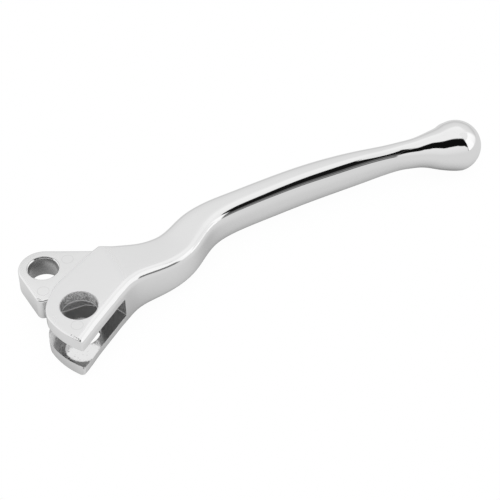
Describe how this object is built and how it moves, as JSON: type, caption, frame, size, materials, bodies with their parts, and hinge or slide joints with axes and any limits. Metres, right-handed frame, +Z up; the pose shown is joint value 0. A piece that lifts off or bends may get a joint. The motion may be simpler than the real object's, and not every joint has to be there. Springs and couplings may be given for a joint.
{
  "type": "motorcycle clutch lever",
  "caption": "Chrome hand lever with a forked end for the clutch cable, an offset tongue that pivots on a bushing, a swept gooseneck blade and a ball tip.",
  "frame": {"origin": "centre of the lever's overall box; the pivot axis is parallel to Z at x = -90.75 mm, y = 17.2 mm", "axes": "+X along the lever from the pivot to the ball tip, +Y towards the handlebar grip the blade is pulled to, +Z up along the pivot axis"},
  "size_m": [0.2004, 0.0566, 0.0214],
  "materials": {
    "lever_chrome": "bright chrome plating over a die casting",
    "bushing_steel": "fine turned bore",
    "sleeve_steel": "dull zinc plated steel"
  },
  "bodies": {
    "pivot": {"pivot_bushing": "bushing_steel"},
    "lever": {"lever_body": "lever_chrome"},
    "cable_anchor": {"cable_anchor_sleeve": "sleeve_steel"}
  },
  "joints": [
    {"name": "lever_pivot", "type": "hinge", "parent": "pivot", "child": "lever", "pos_m": [-0.09075, 0.0172, 0], "axis": [0, 0, 1], "range_deg": [0, 28]},
    {"name": "anchor_turn", "type": "hinge", "parent": "lever", "child": "cable_anchor", "pos_m": [-0.08655, -0.0112, 0], "axis": [0, 0, 1], "range_deg": [-30, 30]}
  ]
}
